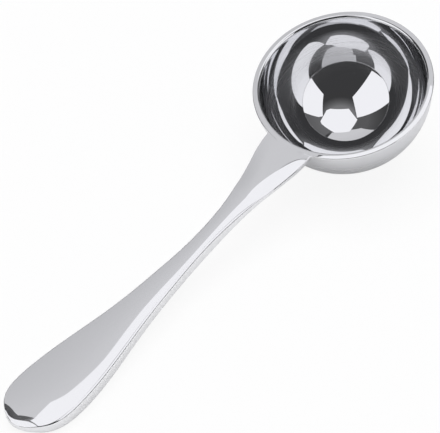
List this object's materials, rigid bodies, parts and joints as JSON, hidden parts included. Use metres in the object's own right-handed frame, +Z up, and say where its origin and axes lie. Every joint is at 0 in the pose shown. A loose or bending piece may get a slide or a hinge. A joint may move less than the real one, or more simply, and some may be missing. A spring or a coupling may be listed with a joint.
{
  "type": "coffee scoop",
  "caption": "Polished steel measuring scoop: a round spun bowl with a flat lip, welded flush to a long forged handle with a crowned top and a rounded paddle end.",
  "frame": {"origin": "on the table under the middle of the scoop's box, as the scoop lies at rest", "axes": "+Z up from the table, +X from the handle's tip towards the bowl, Y across; the scoop is the same on both sides of Y = 0"},
  "size_m": [0.1634, 0.052, 0.0325],
  "materials": {
    "bowl_steel": "mirror-polished stainless steel",
    "handle_steel": "mirror-polished stainless steel"
  },
  "bodies": {
    "root": {"bowl": "bowl_steel", "handle": "handle_steel"}
  },
  "joints": []
}
